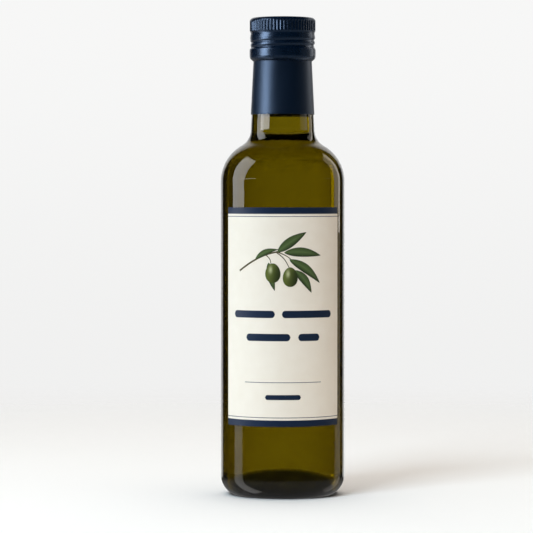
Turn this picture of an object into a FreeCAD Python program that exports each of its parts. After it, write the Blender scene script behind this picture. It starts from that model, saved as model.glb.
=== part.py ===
import FreeCAD, Part
import math
import os
import Sketcher

# Olive oil bottle: a round glass bottle with a domed base, its filling of oil, a rolled metal
# screw cap, a sleeve round the neck and a paper label. Millimetres, +Z up, the origin on the
# axis at the level the bottle stands on, the middle of the label facing -Y.

# alias, value and meaning of each driving dimension; a drop is measured down from the cap's top.
SIZES = [
    ("height", 254.0, "overall height, cap included"),
    ("body_radius", 33.0, "outside radius of the glass body"),
    ("wall", 3.0, "glass thickness of the body and shoulder"),
    ("neck_wall", 2.8, "glass thickness at the top of the neck"),
    ("base_glass", 3.0, "glass thickness over the domed base"),
    ("heel", 11.5, "radius of the round between side and foot"),
    ("foot", 2.0, "radius of both edges of the bearing ring"),
    ("foot_inset", 7.0, "from the side in to the bearing ring"),
    ("ring_flat", 1.2, "width of the flat that the bottle stands on"),
    ("punt_height", 11.5, "rise of the domed base"),
    ("valley", 2.5, "radius of the inner corner round the dome"),
    ("shoulder_drop", 87.0, "drop to where the side turns into the shoulder"),
    ("shoulder", 22.0, "radius of the shoulder"),
    ("neck_fillet", 9.5, "radius between shoulder and neck"),
    ("neck_top", 15.2, "neck radius under the cap's lower edge"),
    ("neck_taper", 0.049, "neck radius gained for each millimetre down"),
    ("collar_drop", 23.1, "drop to the cap's lower edge"),
    ("finish_swell", 1.0, "how far the glass stands out again inside the cap"),
    ("finish_rise", 1.6, "height over which it does so"),
    ("lip_round", 1.2, "radius of the mouth's outer edge"),
    ("headspace_drop", 52.0, "drop to the surface of the oil"),
    ("cap_wall", 1.3, "depth of the cap's side, its knurls and grooves included"),
    ("cap_lid", 1.0, "thickness of the cap's top with its liner"),
    ("cap_corner", 2.2, "radius of the cap's top edge"),
    ("cap_tuck", 2.1, "height of the cap's tucked-in lower edge"),
    ("cap_lip", 0.5, "width of the cap's lower face"),
    ("cap_gap", 0.1, "clearance of the cap round the glass"),
    ("roll_a_drop", 8.5, "drop to the groove under the knurls"),
    ("roll_a_depth", 0.55, "depth of the groove under the knurls"),
    ("roll_a_radius", 2.5, "radius of the wheel that rolls it"),
    ("roll_b_drop", 12.8, "drop to the upper thread groove"),
    ("roll_b_depth", 0.8, "depth of the upper thread groove"),
    ("roll_b_radius", 2.2, "radius of the wheel that rolls it"),
    ("roll_c_drop", 15.4, "drop to the lower thread groove"),
    ("roll_c_depth", 0.65, "depth of the lower thread groove"),
    ("roll_c_radius", 1.5, "radius of the wheel that rolls it"),
    ("knurl_drop", 2.8, "drop to the top of the knurls"),
    ("knurl_length", 4.3, "height of the knurls"),
    ("knurl_depth", 0.4, "depth of the notches between knurls"),
    ("knurl_width", 1.1, "width of the notches between knurls"),
    ("knurl_count", 60, "number of notches round the cap"),
    ("bare_neck", 8.6, "glass left bare from the foot of the neck up to the sleeve"),
    ("sleeve_thick", 0.3, "thickness of the neck sleeve"),
    ("sleeve_gap", 0.05, "clearance of the sleeve on the glass and under the cap"),
    ("label_width", 69.5, "width of the label along the glass"),
    ("label_rise", 38.5, "level of the label's lower edge"),
    ("label_margin", 13.7, "from the label's upper edge to the shoulder"),
    ("label_thick", 0.15, "thickness of the label"),
    ("glue", 0.02, "thickness of the glue under the label"),
]
CUT_OVER = 1.0  # how far a cutting outline reaches past the glass or metal that it cuts
START, END, CENTRE = 1, 2, 3  # numbers of the points of a line or an arc in a constraint
AXIS_X, AXIS_Y = -1, -2  # numbers of a sketch's own axes in a constraint
ORIGIN = (AXIS_X, START)


class Size:
    """A length with its present value and the sheet expression that drives it."""

    def __init__(self, value, text):
        self.value = value
        self.text = text

    def __add__(self, other):
        return Size(self.value + other.value, f"({self.text} + {other.text})")

    def __sub__(self, other):
        return Size(self.value - other.value, f"({self.text} - {other.text})")

    def __mul__(self, other):
        return Size(self.value * other.value, f"({self.text} * {other.text})")

    def __truediv__(self, other):
        return Size(self.value / other.value, f"({self.text} / {other.text})")


def plain(number):
    return Size(number, str(number))


def root(size):
    return Size(math.sqrt(size.value), f"sqrt({size.text})")


def make_sheet(document):
    """Write the driving dimensions to a sheet, and give each back as a Size under its alias."""
    sheet = document.addObject("Spreadsheet::Sheet", "sizes")
    for row, (alias, value, meaning) in enumerate(SIZES, start=1):
        sheet.set(f"A{row}", meaning)
        sheet.set(f"B{row}", str(value))
        sheet.setAlias(f"B{row}", alias)
    return {alias: Size(value, f"<<sizes>>.{alias}") for alias, value, _ in SIZES}


class Outline:
    """A sketch of one closed chain of lines and arcs, started at a point of (radius, level)."""

    def __init__(self, body, name, plane, start):
        self.sketch = body.newObject("Sketcher::SketchObject", name)
        self.sketch.AttachmentSupport = [(origin_feature(body, plane), "")]
        self.sketch.MapMode = "FlatFace"
        self.start = start
        self.here = start
        self.ends = []  # numbers of each piece's first and last point, in the chain's order

    def line_to(self, x, y):
        there = (x, y)
        edge = Part.LineSegment(FreeCAD.Vector(*self.here, 0), FreeCAD.Vector(*there, 0))
        return self.add(edge, (START, END), there)

    def arc_to(self, x, y, centre):
        """The shorter arc to (x, y) about the given centre."""
        there = (x, y)
        first = math.atan2(self.here[1] - centre[1], self.here[0] - centre[0])
        last = math.atan2(there[1] - centre[1], there[0] - centre[0])
        turn = (last - first + math.pi) % (2 * math.pi) - math.pi
        radius = math.dist(centre, there)
        circle = Part.Circle(FreeCAD.Vector(*centre, 0), FreeCAD.Vector(0, 0, 1), radius)
        if turn > 0:
            return self.add(Part.ArcOfCircle(circle, first, first + turn), (START, END), there)
        return self.add(Part.ArcOfCircle(circle, last, last - turn), (END, START), there)

    def add(self, edge, ends, there):
        piece = self.sketch.addGeometry(edge, False)
        self.ends.append(ends)
        self.here = there
        return piece

    def close(self):
        return self.line_to(*self.start)

    def join(self, smooth=()):
        """Join the pieces end to end; those in smooth are tangent to the piece that follows."""
        count = len(self.ends)
        for piece in range(count):
            after = (piece + 1) % count
            kind = "Tangent" if piece in smooth else "Coincident"
            last, first = self.ends[piece][1], self.ends[after][0]
            self.sketch.addConstraint(Sketcher.Constraint(kind, piece, last, after, first))

    def drive(self, kind, where, size):
        index = self.sketch.addConstraint(Sketcher.Constraint(kind, *where, size.value))
        self.sketch.setExpression(f"Constraints[{index}]", size.text)

    def across(self, piece, size):
        """Set the radius at which a piece ends."""
        self.drive("DistanceX", (*ORIGIN, piece, self.ends[piece][1]), size)

    def level(self, piece, size):
        """Set the level at which a piece ends."""
        self.drive("DistanceY", (*ORIGIN, piece, self.ends[piece][1]), size)

    def corner(self, piece, x, y):
        self.across(piece, x)
        self.level(piece, y)

    def radius(self, piece, size):
        self.drive("Radius", (piece,), size)

    def upright(self, *pieces):
        for piece in pieces:
            self.sketch.addConstraint(Sketcher.Constraint("Vertical", piece))

    def flat(self, *pieces):
        for piece in pieces:
            self.sketch.addConstraint(Sketcher.Constraint("Horizontal", piece))

    def on_axis(self, piece, point):
        self.sketch.addConstraint(Sketcher.Constraint("PointOnObject", piece, point, AXIS_Y))

    def taper(self, piece, rate):
        """Lean an upward line inwards by a rate of radius for each millimetre."""
        lean = math.pi / 2 + math.atan(rate.value)
        index = self.sketch.addConstraint(Sketcher.Constraint("Angle", piece, lean))
        self.sketch.setExpression(f"Constraints[{index}]", f"90 deg + atan({rate.text})")


def origin_feature(body, role):
    return next(part for part in body.Origin.OriginFeatures if part.Role == role)


def new_body(document, label, quarter_turns=0):
    """A body on the bottle's axis, turned about it by quarter turns, anticlockwise from above."""
    body = document.addObject("PartDesign::Body", label)
    body.Label = label
    turned = FreeCAD.Rotation(FreeCAD.Vector(0, 0, 1), 90 * quarter_turns)
    body.Placement = FreeCAD.Placement(FreeCAD.Vector(0, 0, 0), turned)
    return body


def turn(body, kind, name, sketch):
    """Revolve or groove a sketch all the way round the vertical axis."""
    feature = body.newObject(f"PartDesign::{kind}", name)
    feature.Profile = sketch
    feature.ReferenceAxis = (sketch, ["V_Axis"])
    feature.Angle = 360
    sketch.Visibility = False
    return feature


def polygon(body, name, corners, plane="XZ_Plane"):
    """A sketch of straight sides through corners that are each set by two sizes."""
    outline = Outline(body, name, plane, (corners[-1][0].value, corners[-1][1].value))
    for x, y in corners:
        outline.line_to(x.value, y.value)
    outline.join()
    for piece, (x, y) in enumerate(corners):
        outline.corner(piece, x, y)
    return outline.sketch


def on_line(one, other, distance):
    """The point that lies that far from one point towards another."""
    share = distance / math.dist(one, other)
    return (one[0] + (other[0] - one[0]) * share, one[1] + (other[1] - one[1]) * share)


def levels(s):
    """Levels and radii that several pieces share."""
    ring = s["body_radius"] - s["foot_inset"]
    run = s["heel"] - s["foot"]
    offset = s["heel"] - s["foot_inset"]
    ring_inner = ring - s["ring_flat"]
    reach = ring_inner * ring_inner + s["punt_height"] * s["punt_height"]
    s["ring"] = ring
    s["ring_inner"] = ring_inner
    s["heel_level"] = s["foot"] + root(run * run - offset * offset)
    s["punt_radius"] = reach / (plain(2) * s["punt_height"]) - s["foot"]
    s["shoulder_level"] = s["height"] - s["shoulder_drop"]
    s["collar_level"] = s["height"] - s["collar_drop"]
    s["mouth_level"] = s["height"] - s["cap_lid"]
    s["finish"] = s["neck_top"] + s["finish_swell"]
    s["cap_radius"] = s["finish"] + s["cap_gap"] + s["cap_wall"]
    neck_foot = neck_bend(s, s["shoulder"], s["neck_fillet"], s["neck_top"])[1][1]
    s["sleeve_bottom"] = neck_foot + s["bare_neck"]


def neck_bend(s, shoulder, fillet, neck_top):
    """The arc from the shoulder into the tapering neck: its centre, and its end on the neck."""
    taper = s["neck_taper"]
    slant = plain(1) + taper * taper
    shoulder_centre = s["body_radius"] - s["shoulder"]
    neck_rise = s["collar_level"] - s["shoulder_level"]
    across = neck_top + taper * neck_rise + fillet * root(slant) - shoulder_centre
    reach = shoulder + fillet
    rise = (across * taper + root(reach * reach * slant - across * across)) / slant
    centre = (shoulder_centre + across - taper * rise, s["shoulder_level"] + rise)
    end = (centre[0] - fillet / root(slant), centre[1] - fillet * taper / root(slant))
    return centre, end


def shoulder_to_collar(outline, s, shoulder, fillet, neck_top):
    """Shoulder arc, arc into the neck, and tapering neck; returns the three pieces."""
    centre = (s["body_radius"].value - s["shoulder"].value, s["shoulder_level"].value)
    bend, neck_foot = neck_bend(s, shoulder, fillet, neck_top)
    bend_centre = (bend[0].value, bend[1].value)
    shoulder_arc = outline.arc_to(*on_line(centre, bend_centre, shoulder.value), centre)
    neck_arc = outline.arc_to(neck_foot[0].value, neck_foot[1].value, bend_centre)
    neck_line = outline.line_to(neck_top.value, s["collar_level"].value)
    return shoulder_arc, neck_arc, neck_line


def glass_outline(body, s):
    """The bottle's outside from under the dome, round the foot and up to the mouth."""
    foot, heel, ring = s["foot"].value, s["heel"].value, s["ring"].value
    inner_foot = (s["ring_inner"].value, foot)
    outer_foot = (ring, foot)
    dome_centre = (0.0, s["punt_height"].value - s["punt_radius"].value)
    heel_centre = (s["body_radius"].value - heel, s["heel_level"].value)
    outline = Outline(body, "glass_outside", "XZ_Plane", (0.0, s["punt_height"].value))
    dome_end = on_line(dome_centre, inner_foot, s["punt_radius"].value)
    dome = outline.arc_to(*dome_end, dome_centre)
    inner_round = outline.arc_to(s["ring_inner"].value, 0.0, inner_foot)
    bearing = outline.line_to(ring, 0.0)
    outer_round = outline.arc_to(*on_line(heel_centre, outer_foot, heel), outer_foot)
    heel_arc = outline.arc_to(s["body_radius"].value, heel_centre[1], heel_centre)
    side = outline.line_to(s["body_radius"].value, s["shoulder_level"].value)
    shoulder_arc, neck_arc, neck_line = shoulder_to_collar(
        outline, s, s["shoulder"], s["neck_fillet"], s["neck_top"]
    )
    finish_level = s["collar_level"] + s["finish_rise"]
    lip_start = s["mouth_level"] - s["lip_round"]
    lip_end = s["finish"] - s["lip_round"]
    swell = outline.line_to(s["finish"].value, finish_level.value)
    finish = outline.line_to(s["finish"].value, lip_start.value)
    lip = outline.arc_to(lip_end.value, s["mouth_level"].value, (lip_end.value, lip_start.value))
    mouth = outline.line_to(0.0, s["mouth_level"].value)
    outline.close()
    outline.join(smooth=(dome, inner_round, bearing, outer_round, heel_arc, side, shoulder_arc,
                         neck_arc, finish, lip))
    outline.on_axis(dome, CENTRE)
    outline.on_axis(dome, outline.ends[dome][0])
    outline.on_axis(mouth, END)
    outline.drive("DistanceY", (*ORIGIN, dome, outline.ends[dome][0]), s["punt_height"])
    outline.flat(bearing, mouth)
    outline.upright(side, finish)
    outline.sketch.addConstraint(Sketcher.Constraint("PointOnObject", bearing, END, AXIS_X))
    outline.drive("DistanceX", (bearing, START, bearing, END), s["ring_flat"])
    outline.across(bearing, s["ring"])
    outline.radius(inner_round, s["foot"])
    outline.radius(outer_round, s["foot"])
    outline.radius(heel_arc, s["heel"])
    outline.corner(side, s["body_radius"], s["shoulder_level"])
    outline.radius(shoulder_arc, s["shoulder"])
    outline.radius(neck_arc, s["neck_fillet"])
    outline.taper(neck_line, s["neck_taper"])
    outline.corner(neck_line, s["neck_top"], s["collar_level"])
    outline.corner(swell, s["finish"], finish_level)
    outline.radius(lip, s["lip_round"])
    outline.level(mouth, s["mouth_level"])
    return outline.sketch


def cavity_outline(body, s):
    """The inside of the glass, from the top of the dome to just above the mouth."""
    wall_radius = s["body_radius"] - s["wall"]
    heel = s["heel"] - s["wall"]
    dome_top = s["punt_height"] + s["base_glass"]
    dome_radius = s["punt_radius"] + s["base_glass"]
    bore = s["neck_top"] - s["neck_wall"]
    top = s["mouth_level"] + plain(CUT_OVER)
    dome_centre = (0.0, dome_top.value - dome_radius.value)
    heel_centre = (s["body_radius"].value - s["heel"].value, s["heel_level"].value)
    valley = s["valley"].value
    valley_centre = crossing(
        dome_centre, dome_radius.value + valley, heel_centre, heel.value - valley
    )
    outline = Outline(body, "glass_inside", "XZ_Plane", (0.0, dome_top.value))
    dome = outline.arc_to(*on_line(dome_centre, valley_centre, dome_radius.value), dome_centre)
    heel_start = on_line(heel_centre, valley_centre, heel.value)
    valley_arc = outline.arc_to(*heel_start, valley_centre)
    heel_arc = outline.arc_to(wall_radius.value, heel_centre[1], heel_centre)
    side = outline.line_to(wall_radius.value, s["shoulder_level"].value)
    shoulder = s["shoulder"] - s["wall"]
    fillet = s["neck_fillet"] + s["wall"]
    shoulder_arc, neck_arc, neck_line = shoulder_to_collar(outline, s, shoulder, fillet, bore)
    bore_line = outline.line_to(bore.value, top.value)
    mouth = outline.line_to(0.0, top.value)
    outline.close()
    outline.join(smooth=(dome, valley_arc, heel_arc, side, shoulder_arc, neck_arc))
    outline.on_axis(dome, CENTRE)
    outline.on_axis(dome, outline.ends[dome][0])
    outline.on_axis(mouth, END)
    outline.drive("DistanceY", (*ORIGIN, dome, outline.ends[dome][0]), dome_top)
    outline.radius(dome, dome_radius)
    outline.radius(valley_arc, s["valley"])
    outline.radius(heel_arc, heel)
    outline.level(heel_arc, s["heel_level"])
    outline.upright(side, bore_line)
    outline.corner(side, wall_radius, s["shoulder_level"])
    outline.radius(shoulder_arc, shoulder)
    outline.radius(neck_arc, fillet)
    outline.taper(neck_line, s["neck_taper"])
    outline.corner(neck_line, bore, s["collar_level"])
    outline.flat(mouth)
    outline.level(mouth, top)
    return outline.sketch


def crossing(one, one_radius, other, other_radius):
    """The lower point where two circles cross."""
    apart = math.dist(one, other)
    along = (apart**2 + one_radius**2 - other_radius**2) / (2 * apart)
    aside = math.sqrt(one_radius**2 - along**2)
    x, y = on_line(one, other, along)
    return (x + aside * (other[1] - one[1]) / apart, y - aside * (other[0] - one[0]) / apart)


def make_bottle(document, s):
    body = new_body(document, "bottle")
    turn(body, "Revolution", "glass", glass_outline(body, s))
    turn(body, "Groove", "inside", cavity_outline(body, s))
    return body


def make_oil(document, s):
    """The oil fills the inside of the glass up to its level in the neck."""
    body = new_body(document, "oil")
    turn(body, "Revolution", "filling", cavity_outline(body, s))
    surface = s["height"] - s["headspace_drop"]
    top = s["height"] + plain(CUT_OVER)
    past = s["body_radius"]
    zero = plain(0)
    corners = [(zero, surface), (past, surface), (past, top), (zero, top)]
    turn(body, "Groove", "headspace", polygon(body, "above_the_oil", corners))
    return body


def make_cap(document, s):
    body = new_body(document, "cap")
    turn(body, "Revolution", "shell", cap_outline(body, s))
    for name in ("roll_a", "roll_b", "roll_c"):
        roll_groove(body, s, name)
    knurl(body, s)
    return body


def cap_outline(body, s):
    """Closed top, straight side, tucked-in lower edge, and inside that clears the glass."""
    corner_start = s["cap_radius"] - s["cap_corner"]
    corner_end = s["height"] - s["cap_corner"]
    tuck_level = s["collar_level"] + s["cap_tuck"]
    seat = s["finish"] + s["cap_gap"]
    mouth = s["neck_top"] + s["cap_gap"]
    swell_level = s["collar_level"] + s["finish_rise"]
    zero = plain(0)
    outline = Outline(body, "cap_section", "XZ_Plane", (0.0, s["height"].value))
    top = outline.line_to(corner_start.value, s["height"].value)
    centre = (corner_start.value, corner_end.value)
    corner = outline.arc_to(s["cap_radius"].value, corner_end.value, centre)
    straight = [
        (s["cap_radius"], tuck_level),
        (mouth + s["cap_lip"], s["collar_level"]),
        (mouth, s["collar_level"]),
        (seat, swell_level),
        (seat, s["mouth_level"]),
        (zero, s["mouth_level"]),
    ]
    pieces = [outline.line_to(x.value, y.value) for x, y in straight]
    outline.close()
    outline.join(smooth=(top, corner))
    outline.flat(top)
    outline.radius(corner, s["cap_corner"])
    for piece, (x, y) in zip(pieces, straight):
        outline.corner(piece, x, y)
    outline.on_axis(top, START)
    outline.level(top, s["height"])
    outline.upright(pieces[0])
    return outline.sketch


def roll_groove(body, s, name):
    """A groove that a round-edged wheel rolls into the cap's side."""
    wheel = s[f"{name}_radius"]
    across = s["cap_radius"] + wheel - s[f"{name}_depth"]
    level = s["height"] - s[f"{name}_drop"]
    sketch = body.newObject("Sketcher::SketchObject", f"{name}_section")
    sketch.AttachmentSupport = [(origin_feature(body, "XZ_Plane"), "")]
    sketch.MapMode = "FlatFace"
    middle = FreeCAD.Vector(across.value, level.value, 0)
    circle = sketch.addGeometry(Part.Circle(middle, FreeCAD.Vector(0, 0, 1), wheel.value), False)
    for kind, where, size in (
        ("DistanceX", (*ORIGIN, circle, CENTRE), across),
        ("DistanceY", (*ORIGIN, circle, CENTRE), level),
        ("Radius", (circle,), wheel),
    ):
        index = sketch.addConstraint(Sketcher.Constraint(kind, *where, size.value))
        sketch.setExpression(f"Constraints[{index}]", size.text)
    turn(body, "Groove", name, sketch)


def knurl(body, s):
    """Upright notches all round the top of the cap's side."""
    half = s["knurl_width"] / plain(2)
    root_radius = s["cap_radius"] - s["knurl_depth"]
    rate = half / s["knurl_depth"]
    outer = s["cap_radius"] + plain(CUT_OVER)
    spread = rate * (outer - root_radius)
    zero = plain(0)
    corners = [(root_radius, zero), (outer, spread), (outer, zero - spread)]
    sketch = polygon(body, "notch_section", corners, plane="XY_Plane")
    top = s["height"] - s["knurl_drop"]
    sketch.AttachmentOffset.Base = FreeCAD.Vector(0, 0, top.value)
    sketch.setExpression("AttachmentOffset.Base.z", top.text)
    notch = body.newObject("PartDesign::Pocket", "notch")
    notch.Profile = sketch
    notch.Type = "Length"
    notch.setExpression("Length", s["knurl_length"].text)
    pattern = body.newObject("PartDesign::PolarPattern", "notches")
    pattern.Originals = [notch]
    pattern.Axis = (origin_feature(body, "Z_Axis"), [""])
    pattern.Angle = 360
    pattern.setExpression("Occurrences", s["knurl_count"].text)
    body.Tip = pattern


def make_sleeve(document, s):
    """A thin tapering tube on the neck, from just under the cap down."""
    body = new_body(document, "neck_sleeve")
    top = s["collar_level"] - s["sleeve_gap"]
    bottom = s["sleeve_bottom"]
    top_radius = s["neck_top"] + s["sleeve_gap"]
    bottom_radius = top_radius + s["neck_taper"] * (s["collar_level"] - bottom)
    corners = [
        (bottom_radius, bottom),
        (bottom_radius + s["sleeve_thick"], bottom),
        (top_radius + s["sleeve_thick"], top),
        (top_radius, top),
    ]
    turn(body, "Revolution", "sleeve", polygon(body, "sleeve_section", corners))
    return body


def make_label(document, s):
    """A paper label round part of the straight side, drawn about +X and turned to face -Y."""
    body = new_body(document, "label", quarter_turns=-1)
    inner = s["body_radius"] + s["glue"]
    outer = inner + s["label_thick"]
    low = s["label_rise"]
    high = s["shoulder_level"] - s["label_margin"]
    corners = [(inner, low), (outer, low), (outer, high), (inner, high)]
    paper = turn(body, "Revolution", "paper", polygon(body, "label_section", corners))
    paper.Midplane = True
    paper.setExpression("Angle", f"({s['label_width'].text} / {inner.text}) * 1 rad")
    return body


def check(document, bodies):
    for item in document.Objects:
        if {"Invalid", "Error"} & set(item.State):
            raise RuntimeError(f"{item.Name} failed: {item.State}")
        if item.isDerivedFrom("Sketcher::SketchObject") and not item.FullyConstrained:
            raise RuntimeError(f"{item.Name} is not fully constrained")
    for body in bodies:
        if body.Shape.isNull() or not body.Shape.isValid() or len(body.Shape.Solids) != 1:
            raise RuntimeError(f"{body.Label} is not one sound solid")


def main():
    document = FreeCAD.newDocument("olive_oil_bottle")
    sizes = make_sheet(document)
    document.recompute()
    levels(sizes)
    bottle = make_bottle(document, sizes)
    oil = make_oil(document, sizes)
    cap = make_cap(document, sizes)
    sleeve = make_sleeve(document, sizes)
    label = make_label(document, sizes)
    bodies = [bottle, oil, cap, sleeve, label]
    document.recompute()
    check(document, bodies)
    os.makedirs("parts", exist_ok=True)
    for body in bodies:
        body.Shape.exportStep(f"parts/{body.Label}.step")
        print(body.Label, round(body.Shape.Volume, 1), "mm3", body.Shape.BoundBox)


main()
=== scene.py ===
import math

import bpy
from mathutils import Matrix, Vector, noise

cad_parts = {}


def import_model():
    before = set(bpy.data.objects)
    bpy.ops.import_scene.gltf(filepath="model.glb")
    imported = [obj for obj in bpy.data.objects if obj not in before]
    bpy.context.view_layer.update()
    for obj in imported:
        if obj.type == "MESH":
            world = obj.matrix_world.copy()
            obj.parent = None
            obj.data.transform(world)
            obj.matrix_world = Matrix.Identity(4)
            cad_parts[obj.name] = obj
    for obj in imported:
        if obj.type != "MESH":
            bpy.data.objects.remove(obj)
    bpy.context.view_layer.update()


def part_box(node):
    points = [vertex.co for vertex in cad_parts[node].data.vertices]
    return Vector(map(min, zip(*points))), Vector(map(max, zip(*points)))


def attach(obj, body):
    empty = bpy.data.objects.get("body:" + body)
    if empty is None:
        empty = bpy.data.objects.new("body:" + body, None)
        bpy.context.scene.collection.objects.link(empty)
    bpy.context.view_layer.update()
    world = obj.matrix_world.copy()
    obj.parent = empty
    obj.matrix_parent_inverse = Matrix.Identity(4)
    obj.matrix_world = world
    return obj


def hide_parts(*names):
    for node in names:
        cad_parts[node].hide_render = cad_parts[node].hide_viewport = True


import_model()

# The looks of the olive oil bottle, in metres, +Z up, the middle of the label towards -Y.
# Outlines are lists of (radius, level), turned about the Z axis.

MM = 0.001
TAU = 2 * math.pi

# ---------------------------------------------------------------- sizes that follow the frame
GLASS_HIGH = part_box("bottle")[1]
CAP_LOW, CAP_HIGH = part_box("cap")
SLEEVE_LOW, SLEEVE_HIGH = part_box("neck_sleeve")
LABEL_LOW, LABEL_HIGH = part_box("label")
OIL_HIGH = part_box("oil")[1]
BODY_RADIUS = GLASS_HIGH[0]
MOUTH_LEVEL = GLASS_HIGH[2]
CAP_TOP = CAP_HIGH[2]
CAP_RADIUS = CAP_HIGH[0]
COLLAR = CAP_LOW[2]
OIL_LEVEL = OIL_HIGH[2]

# ---------------------------------------------------------------- glass sizes
WALL = BODY_RADIUS - OIL_HIGH[0]
BASE_GLASS = 3.0 * MM
HEEL = 11.5 * MM
FOOT = 2.0 * MM
FOOT_INSET = 7.0 * MM
RING_FLAT = 1.2 * MM
PUNT_HEIGHT = 11.5 * MM
VALLEY = 2.5 * MM
SHOULDER = 22.0 * MM
SHOULDER_DROP = 87.0 * MM
SHOULDER_LEVEL = CAP_TOP - SHOULDER_DROP
NECK_FILLET = 9.5 * MM
NECK_TOP = 15.2 * MM
NECK_TAPER = 0.049
NECK_WALL = 2.8 * MM
FINISH = 16.2 * MM
FINISH_RISE = 1.6 * MM
LIP_ROUND = 1.2 * MM
OIL_INTO_WALL = 0.2 * MM
MENISCUS = 1.2 * MM
MENISCUS_POWER = 8  # higher keeps the curve of the oil's surface nearer to the glass
WAVE = 0.03 * MM  # unevenness of the inside of the glass
WAVE_LENGTH = 18.0 * MM
WAVE_RISE = 0.4  # below 1, so that the waves are longer up the glass than round it
WAVE_FADE = 8.0 * MM  # from each end of the straight wall

# ---------------------------------------------------------------- cap and sleeve sizes
CAP_CORNER = 2.2 * MM
CAP_LID = 1.0 * MM
CAP_GAP = 0.1 * MM  # between the cap and the glass
CAP_SEAT = FINISH + CAP_GAP
CAP_MOUTH = NECK_TOP + CAP_GAP
CAP_HEM = 0.3 * MM  # width of the flat edge round the mouth of the cap
CAP_SKIN = 0.9 * MM  # knurls and thread cut only what lies within this depth of the cap's radius
CORNER_END = math.radians(18)  # where the arc of the top corner meets the side
# The cap's side, in mm: how far below the top, and how far in from the cap's radius.
CAP_SIDE = (
    (2.2, 0.10), (7.1, 0.10), (7.7, 0.45), (8.5, 0.60), (9.6, 0.40), (10.6, 0.28),
    (11.6, 0.36), (14.6, 0.52), (15.8, 0.66), (16.7, 0.12), (17.4, 0.0), (20.5, 0.02), (21.3, 0.16),
)
TUCK = ((21.9, 0.55), (22.5, 1.15), (23.0, 1.75))  # the same, where the lower edge turns in
KNURLS = 60
KNURL_TOP, KNURL_END = 1.5 * MM, 7.3 * MM
KNURL_DEPTH = 0.34 * MM
KNURL_FADE_TOP, KNURL_FADE_END = 0.5 * MM, 0.3 * MM
KNURL_POWER = 1.4  # higher makes the ridges narrower
THREAD_DROP = 11.9 * MM  # from the top to the middle of the rolled thread, at +X
THREAD_PITCH = 2.75 * MM
THREAD_DEPTH = 0.46 * MM
THREAD_HALF = 1.05 * MM
THREAD_FIRST, THREAD_LAST = -0.3, 1.6  # turns
THREAD_FADE = 0.3  # turns
CAP_SEGMENTS = 12 * KNURLS
CAP_RINGS = 76
SLEEVE_EDGE = 0.12 * MM
SLEEVE_GAP = 0.05 * MM
SLEEVE_THICK = 0.3 * MM

# ---------------------------------------------------------------- label sizes
LABEL_GAP = 0.02 * MM
LABEL_RADIUS = BODY_RADIUS + LABEL_GAP
LABEL_THICK = 0.15 * MM
LABEL_HALF = 34.75 * MM  # half of its width along the glass
LABEL_BOTTOM, LABEL_TOP = LABEL_LOW[2], LABEL_HIGH[2]
INK = 0.012 * MM  # how far a layer of print stands out
BAND = 3.4 * MM
RULE = 0.36 * MM
RULE_INSET = 4.75 * MM
LINE_LEVEL = 23.2 * MM  # the short line, over the label's lower edge
LINE_HALF = 21.5 * MM
# Bars where a label carries words: left, right, level over the label's edge and height, in mm.
BARS = (
    (-28.5, -4.2, 58.9, 3.8), (-0.6, 28.5, 58.9, 3.8),
    (-20.3, 3.9, 46.8, 3.8), (8.0, 20.3, 46.8, 3.8), (-9.5, 9.5, 15.4, 2.6),
)

# The olive sprig. Places are mm across and over the label's lower edge, and widths are mm.
STEMS = (  # points and width
    (((-24.8, 81.6), (-16.5, 86.6), (-9.5, 89.9), (-3.2, 91.6), (0.6, 92.4)), 1.0),
    (((-9.0, 90.0), (-6.9, 87.8), (-6.3, 85.4)), 0.55),
    (((-3.4, 91.4), (0.6, 87.9), (3.2, 83.4)), 0.6),
    (((-2.6, 91.5), (2.2, 89.2), (6.4, 85.6)), 0.6),
)
LEAVES = (  # base, tip, width and bow
    ((-14.8, 88.0), (-2.4, 92.9), 3.2, 1.2),
    ((-2.9, 91.5), (12.5, 101.9), 5.4, 0.5),
    ((0.6, 91.2), (21.1, 89.6), 5.2, 1.0),
    ((3.3, 87.6), (20.5, 75.2), 5.0, 1.3),
    ((6.2, 82.0), (15.4, 70.1), 4.8, 1.1),
    ((-7.6, 86.0), (-4.3, 71.2), 4.2, -0.4),
)
OLIVES = (((-5.3, 80.5), 4.0, 5.1), ((3.8, 78.4), 3.9, 5.1))  # middle, half width, half height
STEM_LAYER = 2
LEAF_LANES = (-1.0, -0.55, -0.08, 0.0, 0.08, 0.55, 1.0)  # lines along a leaf, from edge to edge
LEAF_HALF_SHADES = (0.9, 0.55)  # how dark the edges of the dark and the light half are
MIDRIB_LIGHT = 1.25
TIP_SHADE = 0.45

# ---------------------------------------------------------------- fineness of the meshes
SEGMENTS = 256
ARC_STEP = math.radians(2.0)
STEP = 4.0 * MM
FINE_STEP = 2.0 * MM
LABEL_COLUMNS, LABEL_ROWS = 96, 60
BAR_STEP = 0.5 * MM
BAR_TIP = 0.02  # a rounded bar's ends keep this share of its height
LEAF_STEPS = 22
STROKE_STEPS = 12  # between two points
OLIVE_RINGS, OLIVE_SPOKES = 10, 40
MENISCUS_STEPS = 12


# ---------------------------------------------------------------- outlines
def arc(centre, radius, first, last):
    """Points of an arc between two angles in radians, both ends included."""
    count = max(2, round(abs(last - first) / ARC_STEP))
    angles = [first + (last - first) * i / count for i in range(count + 1)]
    return [(centre[0] + radius * math.cos(a), centre[1] + radius * math.sin(a)) for a in angles]


def run(start, end, step):
    """Points of a straight line, both ends included."""
    count = max(1, round(math.dist(start, end) / step))
    return [tuple(s + (e - s) * i / count for s, e in zip(start, end)) for i in range(count + 1)]


def angle_to(centre, point):
    return math.atan2(point[1] - centre[1], point[0] - centre[0])


def towards(one, other, distance):
    share = distance / math.dist(one, other)
    return tuple(a + (b - a) * share for a, b in zip(one, other))


def neck_radius(level):
    return NECK_TOP + NECK_TAPER * (COLLAR - level)


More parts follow.
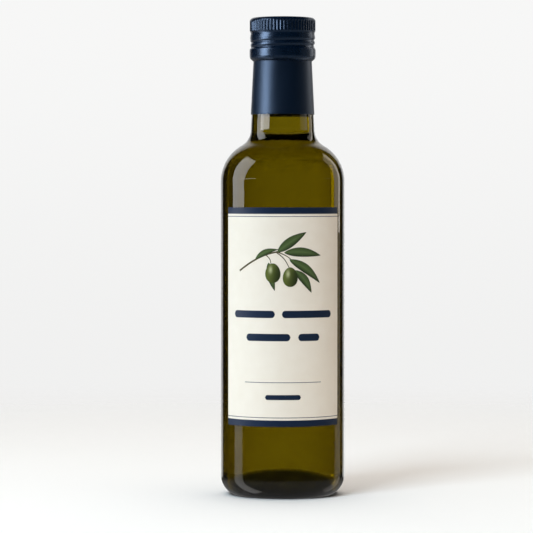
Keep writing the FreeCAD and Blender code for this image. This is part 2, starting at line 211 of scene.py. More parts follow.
def heel_centre():
    rise = math.sqrt((HEEL - FOOT) ** 2 - (HEEL - FOOT_INSET) ** 2)
    return (BODY_RADIUS - HEEL, FOOT + rise)


def punt_radius():
    ring_inner = BODY_RADIUS - FOOT_INSET - RING_FLAT
    return (ring_inner**2 + PUNT_HEIGHT**2) / (2 * PUNT_HEIGHT) - FOOT


def side(inset, neck_inset):
    """Glass side at a depth from the outside: heel, side, shoulder and neck up to the collar."""
    heel = heel_centre()
    shoulder_centre = (BODY_RADIUS - SHOULDER, SHOULDER_LEVEL)
    fillet = NECK_FILLET + inset
    lean = math.atan(NECK_TAPER)
    reach = SHOULDER + NECK_FILLET
    level = SHOULDER_LEVEL + reach
    for _ in range(30):  # the fillet touches the shoulder's arc and the tapering neck
        x = neck_radius(level) - neck_inset + fillet / math.cos(lean)
        level = SHOULDER_LEVEL + math.sqrt(reach**2 - (x - shoulder_centre[0]) ** 2)
    centre = (x, level)
    join = angle_to(shoulder_centre, centre)
    points = run((BODY_RADIUS - inset, heel[1]), (BODY_RADIUS - inset, SHOULDER_LEVEL), STEP)
    points += arc(shoulder_centre, SHOULDER - inset, 0.0, join)[1:]
    points += arc(centre, fillet, join - math.pi, -math.pi + lean)[1:]
    points += run(points[-1], (NECK_TOP - neck_inset, COLLAR), STEP)[1:]
    return points


def outside():
    """From the middle of the domed base, round the foot and up to the top of the mouth."""
    ring = BODY_RADIUS - FOOT_INSET
    inner_foot = (ring - RING_FLAT, FOOT)
    outer_foot = (ring, FOOT)
    dome = (0.0, PUNT_HEIGHT - punt_radius())
    heel = heel_centre()
    turn = angle_to(dome, inner_foot)
    points = arc(dome, punt_radius(), math.pi / 2, turn)
    points += arc(inner_foot, FOOT, turn + math.pi, TAU * 3 / 4)[1:]
    points += arc(outer_foot, FOOT, -math.pi / 2, angle_to(heel, outer_foot))
    points += arc(heel, HEEL, angle_to(heel, outer_foot), 0.0)[1:]
    points += side(0.0, 0.0)[1:]
    points += run((FINISH, COLLAR + FINISH_RISE), (FINISH, MOUTH_LEVEL - LIP_ROUND), STEP)
    points += arc((FINISH - LIP_ROUND, MOUTH_LEVEL - LIP_ROUND), LIP_ROUND, 0, math.pi / 2)[1:]
    return points


def inside(inset, base_inset, neck_inset):
    """From the middle of the dome out and up to the collar, along the inside of the glass."""
    dome = (0.0, PUNT_HEIGHT - punt_radius())
    dome_radius = punt_radius() + base_inset
    heel = heel_centre()
    heel_radius = HEEL - inset
    reach, span = dome_radius + VALLEY, heel_radius - VALLEY
    apart = math.dist(dome, heel)
    along = (apart**2 + reach**2 - span**2) / (2 * apart)
    aside = math.sqrt(reach**2 - along**2)
    x, level = towards(dome, heel, along)
    valley = (x + aside * (heel[1] - dome[1]) / apart, level - aside * heel[0] / apart)
    points = arc(dome, dome_radius, math.pi / 2, angle_to(dome, valley))
    low = angle_to(heel, valley)
    points += arc(valley, VALLEY, angle_to(dome, valley) + math.pi, low + TAU)[1:]
    points += arc(heel, heel_radius, low, 0.0)[1:]
    points += side(inset, neck_inset)[1:]
    return points


# ---------------------------------------------------------------- meshes
def new_object(name, vertices, faces, material, sharp=35):
    mesh = bpy.data.meshes.new(name)
    mesh.from_pydata(vertices, [], faces)
    mesh.update()
    mesh.polygons.foreach_set("use_smooth", [True] * len(mesh.polygons))
    mesh.set_sharp_from_angle(angle=math.radians(sharp))
    piece = bpy.data.objects.new(name, mesh)
    bpy.context.scene.collection.objects.link(piece)
    mesh.materials.append(material)
    return piece


def lathe(name, outline, material, segments=SEGMENTS, shape=None, ring=False):
    """Turn an outline about the axis; shape(radius, level, angle) may move each point.

    With ring, the outline's end joins its start.
    """
    vertices, rings, faces = [], [], []
    for radius, level in outline:
        if radius < 1e-9:
            rings.append([len(vertices)])
            vertices.append((0.0, 0.0, level))
            continue
        rings.append(list(range(len(vertices), len(vertices) + segments)))
        for i in range(segments):
            angle = TAU * i / segments
            r, z = shape(radius, level, angle) if shape else (radius, level)
            vertices.append((r * math.cos(angle), r * math.sin(angle), z))
    if ring:
        rings.append(rings[0])
    for low, high in zip(rings, rings[1:]):
        for i in range(segments):
            j = (i + 1) % segments
            if len(low) == 1:
                faces.append((low[0], high[j], high[i]))
            elif len(high) == 1:
                faces.append((low[i], low[j], high[0]))
            else:
                faces.append((low[i], low[j], high[j], high[i]))
    return new_object(name, vertices, faces, material)


def smooth(share):
    share = min(1.0, max(0.0, share))
    return share * share * (3 - 2 * share)


def on_glass(across, level, out):
    """The point that far across the front of the glass, at a level, and out from the label."""
    angle = across / LABEL_RADIUS
    radius = LABEL_RADIUS + LABEL_THICK + out
    return (radius * math.sin(angle), -radius * math.cos(angle), level)


class Print:
    """Patches of ink on the label, each with a colour at every point."""

    def __init__(self):
        self.vertices, self.faces, self.colors = [], [], []

    def patch(self, rows, colors, layer=1):
        """A patch from rows of (across, level) points and rows of colours."""
        start, width = len(self.vertices), len(rows[0])
        for row, tints in zip(rows, colors):
            for (across, level), tint in zip(row, tints):
                self.vertices.append(on_glass(across, level, INK * layer))
                self.colors.append(tint)
        for i in range(len(rows) - 1):
            for j in range(width - 1):
                corner = start + i * width + j
                self.faces.append((corner, corner + 1, corner + width + 1, corner + width))

    def block(self, low, high, left, right, tint, round_ends=0.0, layer=1):
        """A bar between two levels, its ends rounded by a radius."""
        steps = max(8, round((right - left) / BAR_STEP))
        middle, half = (low + high) / 2, (high - low) / 2
        upper, lower = [], []
        for i in range(steps + 1):
            across = left + (right - left) * i / steps
            end = max(0.0, min(across - left, right - across))
            pinch = 0.0
            if end < round_ends:
                pinch = round_ends - math.sqrt(round_ends**2 - (round_ends - end) ** 2)
            reach = max(half - pinch, half * BAR_TIP)
            upper.append((across, middle + reach))
            lower.append((across, middle - reach))
        tints = [tint] * (steps + 1)
        self.patch([lower, upper], [tints, tints], layer)

    def build(self, name, material):
        piece = new_object(name, self.vertices, self.faces, material)
        attribute = piece.data.color_attributes.new("ink", "FLOAT_COLOR", "POINT")
        for i, tint in enumerate(self.colors):
            attribute.data[i].color = (*tint, 1.0)
        return piece


def finish_piece(piece, slot, *nodes):
    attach(piece, "root")
    if nodes:
        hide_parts(*nodes)
    return piece


# ---------------------------------------------------------------- materials
GLASS_IOR, OIL_IOR = 1.52, 1.47
GLASS_TINT, GLASS_DENSITY = (0.6655, 0.618, 0.0), 1005.0
OIL_TINT, OIL_DENSITY = (0.883, 0.839, 0.0), 22.8
RIPPLE, RIPPLE_SCALE = 0.012 * MM, 70.0  # height, and waves for each metre
CAP_NAVY = ((0.0003, 0.0040, 0.0125), (0.0006, 0.0052, 0.0155))
CAP_ROUGH = (0.24, 0.32)
SLEEVE_NAVY = ((0.0003, 0.0040, 0.0125), (0.0005, 0.0048, 0.0150))
SLEEVE_ROUGH = (0.38, 0.45)
CAP_GRAIN, SLEEVE_GRAIN = 240.0, 150.0
NAVY_SHINE = (0.42, 0.63, 1.0)
LACQUER_BUMP = 0.002 * MM
CREAM = ((0.86, 0.785, 0.68), (0.88, 0.81, 0.71))
NAVY_INK = (0.0025, 0.0160, 0.0500)
GREY_INK = (0.11, 0.12, 0.15)
LEAF_LIGHT = (0.085, 0.14, 0.042)
LEAF_DARK = (0.007, 0.015, 0.004)
STEM = (0.070, 0.052, 0.012)
OLIVE_SKIN = (0.11, 0.14, 0.022)
OLIVE_DARK = (0.022, 0.034, 0.006)
OLIVE_SHINE = (0.55, 0.58, 0.32)
NOISE_LOW, NOISE_HIGH = 0.3, 0.7  # the usual range of a noise texture


def new_material(name):
    material = bpy.data.materials.new(name)
    material.use_nodes = True
    nodes = material.node_tree.nodes
    return material, nodes, material.node_tree.links, nodes["Principled BSDF"]


def noise_texture(nodes, links, scale, detail=3.0, stretch=(1, 1, 1)):
    """Noise in the object's own space; scale is in waves for each metre."""
    where = nodes.new("ShaderNodeTexCoord")
    mapping = nodes.new("ShaderNodeMapping")
    mapping.inputs["Scale"].default_value = stretch
    texture = nodes.new("ShaderNodeTexNoise")
    texture.inputs["Scale"].default_value = scale
    texture.inputs["Detail"].default_value = detail
    links.new(where.outputs["Object"], mapping.inputs["Vector"])
    links.new(mapping.outputs["Vector"], texture.inputs["Vector"])
    return texture.outputs["Fac"]


def map_range(nodes, links, value, low, high, to_low, to_high, kind="SMOOTHSTEP"):
    """Map a value from low..high to to_low..to_high, with an eased or a linear course."""
    mapped = nodes.new("ShaderNodeMapRange")
    mapped.interpolation_type = kind
    for name, number in (("From Min", low), ("From Max", high), ("To Min", to_low), ("To Max", to_high)):
        mapped.inputs[name].default_value = number
    links.new(value, mapped.inputs["Value"])
    return mapped.outputs["Result"]


def between(nodes, links, value, low, high):
    """Map a noise value from its usual range to low..high."""
    return map_range(nodes, links, value, NOISE_LOW, NOISE_HIGH, low, high, "LINEAR")


def tint_mix(nodes, links, value, low, high):
    """A colour between two, by a noise value."""
    mix = nodes.new("ShaderNodeMix")
    mix.data_type = "RGBA"
    mix.inputs["A"].default_value = (*low, 1)
    mix.inputs["B"].default_value = (*high, 1)
    links.new(between(nodes, links, value, 0.0, 1.0), mix.inputs["Factor"])
    return mix.outputs["Result"]


def bump(nodes, links, shader, height, distance, strength=1.0):
    node = nodes.new("ShaderNodeBump")
    node.inputs["Distance"].default_value = distance
    node.inputs["Strength"].default_value = strength
    links.new(height, node.inputs["Height"])
    links.new(node.outputs["Normal"], shader.inputs["Normal"])


def see_through(name, ior, absorb_color, density, ripple=0.0):
    material, nodes, links, shader = new_material(name)
    shader.inputs["Base Color"].default_value = (1, 1, 1, 1)
    shader.inputs["Transmission Weight"].default_value = 1.0
    shader.inputs["IOR"].default_value = ior
    shader.inputs["Roughness"].default_value = 0.0
    if ripple:
        bump(nodes, links, shader, noise_texture(nodes, links, RIPPLE_SCALE, 1.0), ripple)
    absorb = nodes.new("ShaderNodeVolumeAbsorption")
    absorb.inputs["Color"].default_value = (*absorb_color, 1)
    absorb.inputs["Density"].default_value = density
    links.new(absorb.outputs["Volume"], nodes["Material Output"].inputs["Volume"])
    return material


def lacquer(name, dark, light, rough_low, rough_high, grain, stretch=(1, 1, 1)):
    """Satin coating with a faint unevenness in colour, gloss and surface."""
    material, nodes, links, shader = new_material(name)
    coarse = noise_texture(nodes, links, grain, 4.0, stretch)
    fine = noise_texture(nodes, links, grain * 9, 2.0, stretch)
    links.new(tint_mix(nodes, links, coarse, dark, light), shader.inputs["Base Color"])
    links.new(between(nodes, links, coarse, rough_low, rough_high), shader.inputs["Roughness"])
    shader.inputs["Specular IOR Level"].default_value = 1.0
    shader.inputs["Specular Tint"].default_value = (*NAVY_SHINE, 1)
    bump(nodes, links, shader, fine, LACQUER_BUMP, 0.5)
    return material


def paper(name, dark, light):
    """Uncoated paper: a little colour variation and short fibres."""
    material, nodes, links, shader = new_material(name)
    cloud = noise_texture(nodes, links, 160.0, 4.0)
    fibre = noise_texture(nodes, links, 1500.0, 3.0, (1, 1, 0.5))
    links.new(tint_mix(nodes, links, cloud, dark, light), shader.inputs["Base Color"])
    links.new(between(nodes, links, fibre, 0.78, 0.92), shader.inputs["Roughness"])
    shader.inputs["Specular IOR Level"].default_value = 0.25
    bump(nodes, links, shader, fibre, 0.02 * MM, 0.6)
    return material


def ink(name):
    """Print that takes its colour from each point, mottled a little by the paper under it."""
    material, nodes, links, shader = new_material(name)
    attribute = nodes.new("ShaderNodeVertexColor")
    attribute.layer_name = "ink"
    mottle = noise_texture(nodes, links, 900.0, 3.0)
    shade = nodes.new("ShaderNodeMix")
    shade.data_type = "RGBA"
    shade.blend_type = "MULTIPLY"
    shade.inputs["Factor"].default_value = 1.0
    grey = between(nodes, links, mottle, 0.88, 1.0)
    links.new(attribute.outputs["Color"], shade.inputs["A"])
    links.new(grey, shade.inputs["B"])
    links.new(shade.outputs["Result"], shader.inputs["Base Color"])
    links.new(between(nodes, links, mottle, 0.42, 0.6), shader.inputs["Roughness"])
    bump(nodes, links, shader, mottle, 0.01 * MM, 0.4)
    return material


def backdrop_paint(name, color, fade_start, fade_end):
    """Matt paint that fades out with distance, so that the floor has no edge."""
    material, nodes, links, shader = new_material(name)
    shader.inputs["Base Color"].default_value = (*color, 1)
    shader.inputs["Roughness"].default_value = 0.9
    shader.inputs["Specular IOR Level"].default_value = 0.1
    where = nodes.new("ShaderNodeTexCoord")
    length = nodes.new("ShaderNodeVectorMath")
    length.operation = "LENGTH"
    fade = map_range(nodes, links, length.outputs["Value"], fade_start, fade_end, 0.0, 1.0)
    clear = nodes.new("ShaderNodeBsdfTransparent")
    mix = nodes.new("ShaderNodeMixShader")
    links.new(where.outputs["Object"], length.inputs[0])
    links.new(fade, mix.inputs["Fac"])
    links.new(shader.outputs["BSDF"], mix.inputs[1])
    links.new(clear.outputs["BSDF"], mix.inputs[2])
    links.new(mix.outputs["Shader"], nodes["Material Output"].inputs["Surface"])
    return material


# ---------------------------------------------------------------- glass and oil
def wavy(radius, level, angle):
    """The inside of the straight wall is a little uneven; all else stays as it is."""
    low, high = heel_centre()[1], SHOULDER_LEVEL
    if not (low < level < high and radius < BODY_RADIUS - WALL / 2):
        return radius, level
    point = Vector((radius * math.cos(angle), radius * math.sin(angle), level * WAVE_RISE)) / WAVE_LENGTH
    ends = smooth((level - low) / WAVE_FADE) * smooth((high - level) / WAVE_FADE)
    return radius + WAVE * ends * noise.noise(point), level


def make_glass():
    material = see_through("bottle_glass", GLASS_IOR, GLASS_TINT, GLASS_DENSITY, RIPPLE)
    back = inside(WALL, BASE_GLASS, NECK_WALL)
    back += run(back[-1], (back[-1][0], MOUTH_LEVEL), STEP)[1:]
    glass = lathe("glass", outside() + back[::-1], material, shape=wavy)
    finish_piece(glass, "glass", "bottle")


def make_oil():
    material = see_through("olive_oil", OIL_IOR, OIL_TINT, OIL_DENSITY)
    into = OIL_INTO_WALL
    outline = inside(WALL - into, BASE_GLASS - into, NECK_WALL - into)
    below = [point for point in outline if point[1] < OIL_LEVEL]
    above = next(point for point in outline if point[1] >= OIL_LEVEL)
    last = below[-1]
    share = (OIL_LEVEL - last[1]) / (above[1] - last[1])
    edge = last[0] + (above[0] - last[0]) * share
    surface = []
    for i in range(MENISCUS_STEPS + 1):
        out = 1 - i / MENISCUS_STEPS
        surface.append((edge * out, OIL_LEVEL - MENISCUS * (1 - out**MENISCUS_POWER)))
    finish_piece(lathe("oil_filling", below + surface, material), "oil", "oil")


# ---------------------------------------------------------------- cap and sleeve
def cap_inset(drop):
    """How far in from the cap's radius its side is, at a drop below the top; both are in mm."""
    for (above, one), (below, other) in zip(CAP_SIDE, CAP_SIDE[1:]):
        if above <= drop <= below:
            return one + (other - one) * smooth((drop - above) / (below - above))
    return 0.0


def thread_cut(level, angle):
    """Depth of the rolled thread, a groove that winds down from the right across the front."""
    deepest = 0.0
    for whole in (-1, 0, 1):
        turns = whole + (-angle / TAU) % 1.0
        starts, stops = (turns - THREAD_FIRST) / THREAD_FADE, (THREAD_LAST - turns) / THREAD_FADE
        away = abs(level - (CAP_TOP - THREAD_DROP - THREAD_PITCH * turns)) / THREAD_HALF
        if away < 1:
            depth = THREAD_DEPTH * smooth(starts) * smooth(stops)
            deepest = max(deepest, depth * math.cos(away * math.pi / 2) ** 2)
    return deepest


def knurl_cut(level, angle):
    """Depth of the valleys between the knurls; each knurl is a narrow ridge with rounded ends."""
    drop = CAP_TOP - level
    starts, stops = (drop - KNURL_TOP) / KNURL_FADE_TOP, (KNURL_END - drop) / KNURL_FADE_END
    ridge = (0.5 - 0.5 * math.cos(angle * KNURLS)) ** KNURL_POWER
    return KNURL_DEPTH * smooth(starts) * smooth(stops) * (1 - ridge)


def cap_shape(radius, level, angle):
    if radius < CAP_RADIUS - CAP_SKIN or level > CAP_TOP - KNURL_TOP:
        return radius, level
    return radius - thread_cut(level, angle) - knurl_cut(level, angle), level


def make_cap():
    navy = lacquer("cap_lacquer", *CAP_NAVY, *CAP_ROUGH, CAP_GRAIN)
    side_top = CAP_TOP - CAP_CORNER
    corner = (CAP_RADIUS - CAP_CORNER, side_top)
    outline = run((0.0, CAP_TOP), (corner[0], CAP_TOP), FINE_STEP)
    outline += arc(corner, CAP_CORNER, math.pi / 2, CORNER_END)[1:]
    first, last = CAP_SIDE[0][0], CAP_SIDE[-1][0]
    for i in range(CAP_RINGS + 1):
        drop = first + (last - first) * i / CAP_RINGS
        outline.append((CAP_RADIUS - cap_inset(drop) * MM, CAP_TOP - drop * MM))
    outline += [(CAP_RADIUS - inset * MM, CAP_TOP - drop * MM) for drop, inset in TUCK]
    outline += [(CAP_MOUTH + CAP_HEM, COLLAR), (CAP_MOUTH, COLLAR), (CAP_SEAT, COLLAR + FINISH_RISE)]
    outline += [(CAP_SEAT, CAP_TOP - CAP_LID), (0.0, CAP_TOP - CAP_LID)]
    cap = lathe("screw_cap", outline[::-1], navy, CAP_SEGMENTS, cap_shape)
    finish_piece(cap, "cap_metal", "cap")


def make_sleeve():
    film = lacquer("sleeve_film", *SLEEVE_NAVY, *SLEEVE_ROUGH, SLEEVE_GRAIN, (1, 1, 0.3))
    low, high = SLEEVE_LOW[2], SLEEVE_HIGH[2]
    inner_low, inner_high = neck_radius(low) + SLEEVE_GAP, neck_radius(high) + SLEEVE_GAP
    outer_low, outer_high = inner_low + SLEEVE_THICK, inner_high + SLEEVE_THICK
    rim = (outer_low - SLEEVE_EDGE, low + SLEEVE_EDGE)
    outline = arc(rim, SLEEVE_EDGE, -math.pi / 2, 0.0)
    outline += run((outer_low, low + 2 * SLEEVE_EDGE), (outer_high, high), FINE_STEP)
    outline += [(inner_high, high), (inner_low, low)]
    sleeve = lathe("neck_capsule", outline, film, ring=True)
    finish_piece(sleeve, "sleeve_foil", "neck_sleeve")


# ---------------------------------------------------------------- label
def make_label():
    stock = paper("label_paper", *CREAM)
    columns, rows = LABEL_COLUMNS, LABEL_ROWS
    vertices, faces = [], []
    for out in (0.0, -LABEL_THICK):
        for i in range(rows + 1):
            level = LABEL_BOTTOM + (LABEL_TOP - LABEL_BOTTOM) * i / rows
            for j in range(columns + 1):
                vertices.append(on_glass(LABEL_HALF * (2 * j / columns - 1), level, out))
    width = columns + 1
    back = width * (rows + 1)
    for i in range(rows):
        for j in range(columns):
            a = i * width + j
            faces.append((a, a + 1, a + 1 + width, a + width))
            faces.append((back + a + width, back + a + 1 + width, back + a + 1, back + a))
    for j in range(columns):
        top = rows * width + j
        faces.append((back + j, back + j + 1, j + 1, j))
        faces.append((top, top + 1, back + top + 1, back + top))
    for i in range(rows):
        left, right = i * width, i * width + columns
        faces.append((left, left + width, back + left + width, back + left))
        faces.append((right + width, right, back + right, back + right + width))
    finish_piece(new_object("label_sheet", vertices, faces, stock), "label_paper", "label")


def print_bands(sheet):
    """Navy bands along both edges, with a thin rule inside each, and a short line lower down."""
    sheet.block(LABEL_TOP - BAND, LABEL_TOP, -LABEL_HALF, LABEL_HALF, NAVY_INK)
    sheet.block(LABEL_BOTTOM, LABEL_BOTTOM + BAND, -LABEL_HALF, LABEL_HALF, NAVY_INK)
    for level in (LABEL_TOP - RULE_INSET, LABEL_BOTTOM + RULE_INSET):
        sheet.block(level - RULE / 2, level + RULE / 2, -LABEL_HALF, LABEL_HALF, GREY_INK)
    low, high = LABEL_BOTTOM + LINE_LEVEL - RULE / 2, LABEL_BOTTOM + LINE_LEVEL + RULE / 2
    sheet.block(low, high, -LINE_HALF, LINE_HALF, GREY_INK, RULE / 2)


def print_bars(sheet):
    """Plain rounded bars where a label carries words."""
    for left, right, level, height in BARS:
        low = LABEL_BOTTOM + (level - height / 2) * MM
        high = low + height * MM
        sheet.block(low, high, left * MM, right * MM, NAVY_INK, height / 2 * MM)


def leaf(sheet, base, tip, width, bow, layer):
    """A leaf from base to tip, with one half dark, and a pale midrib; bow bends it sideways."""
    length = math.dist(base, tip)
    along = ((tip[0] - base[0]) / length, (tip[1] - base[1]) / length)
    side = (-along[1], along[0])
    steps = LEAF_STEPS
    rows, colors = [], []
    for lane in LEAF_LANES:
        row, tints = [], []
        for i in range(steps + 1):
            t = i / steps
            half = width / 2 * math.sin(math.pi * t**0.85) ** 0.85 * (1 - 0.15 * t)
            off = bow * math.sin(math.pi * t) + half * lane
            row.append((
                (base[0] + along[0] * length * t + side[0] * off) * MM,
                LABEL_BOTTOM + (base[1] + along[1] * length * t + side[1] * off) * MM,
            ))
            edge = smooth(abs(lane)) * LEAF_HALF_SHADES[0 if lane < 0 else 1]
            if lane == 0.0:
                tint = tuple(MIDRIB_LIGHT * c for c in LEAF_LIGHT)
            else:
                tint = tuple(a + (b - a) * edge for a, b in zip(LEAF_LIGHT, LEAF_DARK))
            dimmed = 1 - TIP_SHADE * smooth((t - 0.6) / 0.4)
            tints.append(tuple(c * dimmed for c in tint))
        rows.append(row)
        colors.append(tints)
    sheet.patch(rows, colors, layer)


def curve_through(points, share):
    """A point on the smooth curve through a list of points, at a share of its length in points."""
    place = share * (len(points) - 1)
    i = min(int(place), len(points) - 2)
    t = place - i
    before, after = points[max(i - 1, 0)], points[min(i + 2, len(points) - 1)]
    spots = (before, points[i], points[i + 1], after)
    weights = (
        (-t + 2 * t**2 - t**3) / 2, (2 - 5 * t**2 + 3 * t**3) / 2,
        (t + 4 * t**2 - 3 * t**3) / 2, (t**3 - t**2) / 2,
    )
    return tuple(sum(w * spot[axis] for w, spot in zip(weights, spots)) for axis in (0, 1))


def stroke(sheet, points, width, tint, layer):
    """A tapering line on the smooth curve through points, thinner towards its end."""
    steps = STROKE_STEPS * (len(points) - 1)
    spots = [curve_through(points, i / steps) for i in range(steps + 1)]
    left, right = [], []
    for i, spot in enumerate(spots):
        before, after = spots[max(i - 1, 0)], spots[min(i + 1, steps)]
        length = math.dist(before, after)
        side = (-(after[1] - before[1]) / length, (after[0] - before[0]) / length)
        half = width / 2 * (1 - 0.4 * i / steps)
        for row, sign in ((left, 1), (right, -1)):
            row.append((
                (spot[0] + side[0] * half * sign) * MM,
                LABEL_BOTTOM + (spot[1] + side[1] * half * sign) * MM,
            ))
    tints = [tint] * (steps + 1)
    sheet.patch([right, left], [tints, tints], layer)


def olive(sheet, centre, half_width, half_height, layer):
    """An egg-shaped olive, dark towards its right, with a pale shine at its upper left."""
    rows, colors = [], []
    for i in range(OLIVE_RINGS + 1):
        out = i / OLIVE_RINGS
        row, tints = [], []
        for j in range(OLIVE_SPOKES + 1):
            angle = TAU * j / OLIVE_SPOKES
            x, y = out * math.cos(angle), out * math.sin(angle)
            narrow = 1 - 0.10 * y
            row.append((
                (centre[0] + half_width * x * narrow) * MM,
                LABEL_BOTTOM + (centre[1] + half_height * y) * MM,
            ))
            shade = smooth((x * 0.8 - y * 0.25 + 0.55) / 1.3)
            tint = tuple(a + (b - a) * shade for a, b in zip(OLIVE_SKIN, OLIVE_DARK))
            glow = math.exp(-(((x + 0.32) / 0.22) ** 2 + ((y - 0.35) / 0.34) ** 2))
            tints.append(tuple(a + (b - a) * glow * 0.9 for a, b in zip(tint, OLIVE_SHINE)))
        rows.append(row)
        colors.append(tints)
    sheet.patch(rows, colors, layer)


def print_sprig(sheet):
    """A plain olive sprig: stems, then leaves and olives, each a layer over the one before."""
    for points, width in STEMS:
        stroke(sheet, points, width, STEM, STEM_LAYER)
    layer = STEM_LAYER
    for draw, shapes in ((leaf, LEAVES), (olive, OLIVES)):
        for shape in shapes:
            layer += 1
            draw(sheet, *shape, layer)


def make_print():
    material = ink("label_ink")
    for name, draw in (("label_bands", print_bands), ("label_bars", print_bars),
                       ("label_sprig", print_sprig)):
        sheet = Print()
        draw(sheet)
        finish_piece(sheet.build(name, material), "label_paper")


# ---------------------------------------------------------------- studio
# Brightness all round, by azimuth in degrees: 0 is towards the camera, 90 to the right.
THROUGH = (  # seen through the glass
    (-180, 0.93), (-165, 1.0), (-158, 1.2), (-146, 1.12), (-143, 0.85), (-142, 3.5), (-139.5, 3.5),
    (-138, 1.0), (-131, 0.85), (-124, 0.35), (-120, 0.05), (-75, 0.03),
    (-62, 0.25), (62, 0.25), (75, 0.02), (129, 0.02), (130, 0.9), (132, 0.9), (134, 0.45), (144, 0.45),
    (150, 0.82), (165, 0.9), (180, 0.93),
)
MIRROR = (  # mirrored in glass and gloss
    (-180, 0.93), (-152, 0.93), (-147, 0.01), (148, 0.01), (155, 0.93), (180, 0.93),
)
NECK_LIGHT = (  # a low band of light that the upright glass of the neck mirrors
    (-180, 0.0), (-90, 0.0), (-87, 4.5), (-76, 4.4), (-73, 6.0), (-52, 6.0), (-49, 0.0),
    (66, 0.0), (70, 0.4), (88, 0.5), (98, 1.1), (102, 0.0), (180, 0.0),
)
NECK_LOW, NECK_HIGH = 0.021, 0.034  # sines of elevation over what the neck's taper adds
BELOW = 0.25  # brightness straight below, mirrored in the round of the base
# Each: the sines of elevation where a change starts and ends, and the values there.
OVERHEAD = (0.45, 0.75, 1.0, 0.06)
MIRROR_FOOT = (-0.15, -0.105, 0.0, 1.0)
BASE_LIGHT = (-0.3, -0.08, BELOW, 0.0)
BACKDROP = (-0.08, 0.07, 0.875, 0.93)
SKY_TINT = (1, 1, 0.995)
COOL = (0.78, 0.91, 1.0)
WARM = (1.0, 0.93, 0.84)
AMBER = (1.0, 0.72, 0.45)
AIM = Vector((0, 0, 0.15))
FLOOR_RADIUS = 1.4
FLOOR_PAINT = (0.93, 0.93, 0.935)
FLOOR_FADE = (0.2, 0.85)  # distances from the bottle
LENS = 186.0
CAMERA_PLACE = (-0.0086, -1.47, 0.163)
CAMERA_DIP = 1.615  # degrees below level


def area_light(name, azimuth, distance, level, width, height, radiance, color=(1, 1, 1)):
    """A softbox aimed at the bottle. Azimuth 0 is towards the camera and 90 to the right."""
    data = bpy.data.lights.new(name, "AREA")
    data.shape = "RECTANGLE"
    data.size, data.size_y = width, height
    data.energy = radiance * math.pi * width * height
    data.color = color
    light = bpy.data.objects.new(name, data)
    turn = math.radians(azimuth)
    light.location = (distance * math.sin(turn), -distance * math.cos(turn), level)
    light.rotation_euler = (AIM - light.location).to_track_quat("-Z", "Y").to_euler()
    light.visible_camera = False
    bpy.context.scene.collection.objects.link(light)
    return light


def gloss_light(*values):
    """A softbox that shows only as a reflection."""
    light = area_light(*values)
    light.visible_diffuse = False
    light.visible_transmission = False
    return light


def dull_light(*values):
    """A softbox that lights dull surfaces and casts shadows, and isn't mirrored."""
    light = area_light(*values)
    light.visible_glossy = False
    light.visible_transmission = False
    return light


def flag_light(light, state, *names):
    """Let a light fall on the named pieces alone, or keep it off them."""
    chosen = bpy.data.collections.new(light.name + "_pieces")
    for name in names:
        chosen.objects.link(bpy.data.objects[name])
    for member in chosen.collection_objects:
        member.light_linking.link_state = state
    light.light_linking.receiver_collection = chosen


def math_node(nodes, links, operation, first, second):
    node = nodes.new("ShaderNodeMath")
    node.operation = operation
    for socket, value in zip(node.inputs, (first, second)):
        if isinstance(value, (int, float)):
            socket.default_value = value
        else:
            links.new(value, socket)
    return node.outputs["Value"]


def float_mix(nodes, links, factor, first, second):
    mix = nodes.new("ShaderNodeMix")
    mix.data_type = "FLOAT"
    links.new(factor, mix.inputs["Factor"])
    links.new(first, mix.inputs["A"])
    links.new(second, mix.inputs["B"])
    return mix.outputs["Result"]


def surround(nodes, links, azimuth, stops):
    """Brightness by azimuth, from stops of (degrees, brightness)."""
    ramp = nodes.new("ShaderNodeValToRGB")
    elements = ramp.color_ramp.elements
    while len(elements) < len(stops):
        elements.new(0.5)
    for element, (degrees, value) in zip(elements, stops):
        element.position = (degrees + 180) / 360
        element.color = (value, value, value, 1)
    links.new(azimuth, ramp.inputs["Fac"])
    return ramp.outputs["Color"]


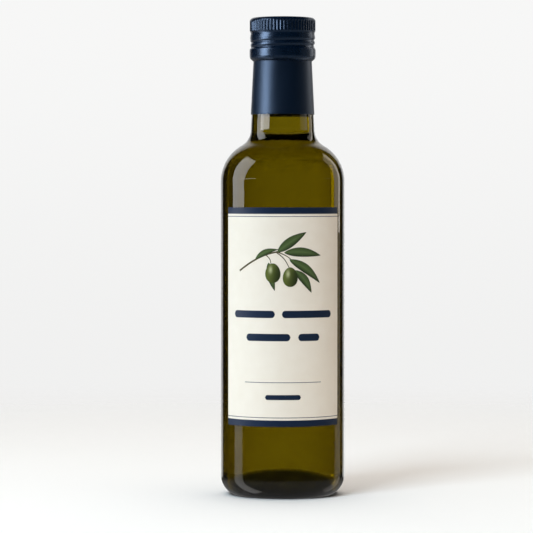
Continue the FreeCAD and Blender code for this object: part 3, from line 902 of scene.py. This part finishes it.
def world():
    """Pale where it is looked at; for glass and gloss, pale behind and dark at the sides."""
    made = bpy.data.worlds.new("studio")
    bpy.context.scene.world = made
    made.use_nodes = True
    nodes, links = made.node_tree.nodes, made.node_tree.links
    where = nodes.new("ShaderNodeTexCoord").outputs["Generated"]
    split = nodes.new("ShaderNodeSeparateXYZ")
    links.new(where, split.inputs["Vector"])
    x, y, z = split.outputs
    front = math_node(nodes, links, "MULTIPLY", y, -1.0)
    angle = math_node(nodes, links, "ARCTAN2", x, front)
    azimuth = math_node(nodes, links, "MULTIPLY_ADD", angle, 1 / TAU)
    azimuth.node.inputs[2].default_value = 0.5
    overhead = map_range(nodes, links, z, *OVERHEAD)
    through = surround(nodes, links, azimuth, THROUGH)
    through = math_node(nodes, links, "MULTIPLY", through, overhead)
    upright = map_range(nodes, links, z, *MIRROR_FOOT)
    upright = math_node(nodes, links, "MULTIPLY", overhead, upright)
    mirror = surround(nodes, links, azimuth, MIRROR)
    mirror = math_node(nodes, links, "MULTIPLY", mirror, upright)
    lean = math_node(nodes, links, "MULTIPLY", angle, 0.5)
    lean = math_node(nodes, links, "COSINE", lean, 0.0)
    lean = math_node(nodes, links, "MULTIPLY", lean, 2 * NECK_TAPER)
    over = math_node(nodes, links, "SUBTRACT", z, lean)
    above = math_node(nodes, links, "GREATER_THAN", over, NECK_LOW)
    below = math_node(nodes, links, "LESS_THAN", over, NECK_HIGH)
    band = math_node(nodes, links, "MULTIPLY", above, below)
    band = math_node(nodes, links, "MULTIPLY", band, surround(nodes, links, azimuth, NECK_LIGHT))
    mirror = math_node(nodes, links, "ADD", mirror, band)
    mirror = math_node(nodes, links, "ADD", mirror, map_range(nodes, links, z, *BASE_LIGHT))
    backdrop = map_range(nodes, links, z, *BACKDROP)
    path = nodes.new("ShaderNodeLightPath")
    strength = float_mix(nodes, links, path.outputs["Is Transmission Ray"], mirror, through)
    strength = float_mix(nodes, links, path.outputs["Is Camera Ray"], strength, backdrop)
    links.new(strength, nodes["Background"].inputs["Strength"])
    nodes["Background"].inputs["Color"].default_value = (*SKY_TINT, 1)


def floor():
    bpy.ops.mesh.primitive_circle_add(vertices=128, radius=FLOOR_RADIUS, fill_type="NGON")
    ground = bpy.context.object
    ground.name = "floor"
    ground.data.materials.append(backdrop_paint("floor_paint", FLOOR_PAINT, *FLOOR_FADE))
    ground.visible_glossy = False


def camera():
    data = bpy.data.cameras.new("camera")
    data.lens = LENS
    data.sensor_width = 36.0
    data.clip_start, data.clip_end = 0.05, 50.0
    made = bpy.data.objects.new("camera", data)
    made.location = CAMERA_PLACE
    made.rotation_euler = (math.radians(90 - CAMERA_DIP), 0, 0)
    bpy.context.scene.collection.objects.link(made)
    bpy.context.scene.camera = made


def studio():
    scene = bpy.context.scene
    scene.view_settings.view_transform = "Standard"
    scene.cycles.max_bounces = 32
    scene.cycles.transmission_bounces = 32
    scene.cycles.glossy_bounces = 8
    floor()
    world()
    closure = ("screw_cap", "neck_capsule")
    # Each light: azimuth, distance, level, width, height, radiance and colour.
    strip = gloss_light("key_strip", -90, 1.0, 0.55, 0.6, 1.1, 3.6)
    flag_light(strip, "EXCLUDE", *closure)
    gloss_light("low_strip", -90, 1.0, -0.62, 0.5, 1.4, 1.1)
    gloss_light("right_strip", 121, 1.0, 0.5, 0.42, 0.8, 0.85, WARM)
    gloss_light("right_edge", 129, 1.0, 0.5, 0.12, 0.8, 1.4, WARM)
    gloss_light("right_low", 123, 1.0, -0.31, 0.42, 0.98, 0.4, WARM)
    flag_light(gloss_light("cap_strip", -68, 1.0, 0.45, 0.5, 1.0, 7.5), "INCLUDE", *closure)
    flag_light(gloss_light("cap_panel", 105, 1.2, 0.4, 2.0, 1.0, 0.10, WARM), "INCLUDE", *closure)
    dull_light("overhead", 180, 0.3, 2.0, 2.4, 2.4, 2.12, WARM)
    dull_light("window", -33, 1.5, 1.45, 0.8, 0.8, 13.1, COOL)
    side = dull_light("side", -85, 1.2, 0.45, 0.5, 0.8, 5.0, COOL)
    flag_light(side, "EXCLUDE", "floor")
    dull_light("front", 10, 2.0, 0.7, 2.0, 1.6, 0.5, WARM)
    fill = dull_light("warm_fill", 70, 1.6, 0.3, 1.0, 1.0, 0.9, AMBER)
    flag_light(fill, "EXCLUDE", "floor")
    camera()


def main():
    make_glass()
    make_oil()
    make_cap()
    make_sleeve()
    make_label()
    make_print()
    studio()


main()
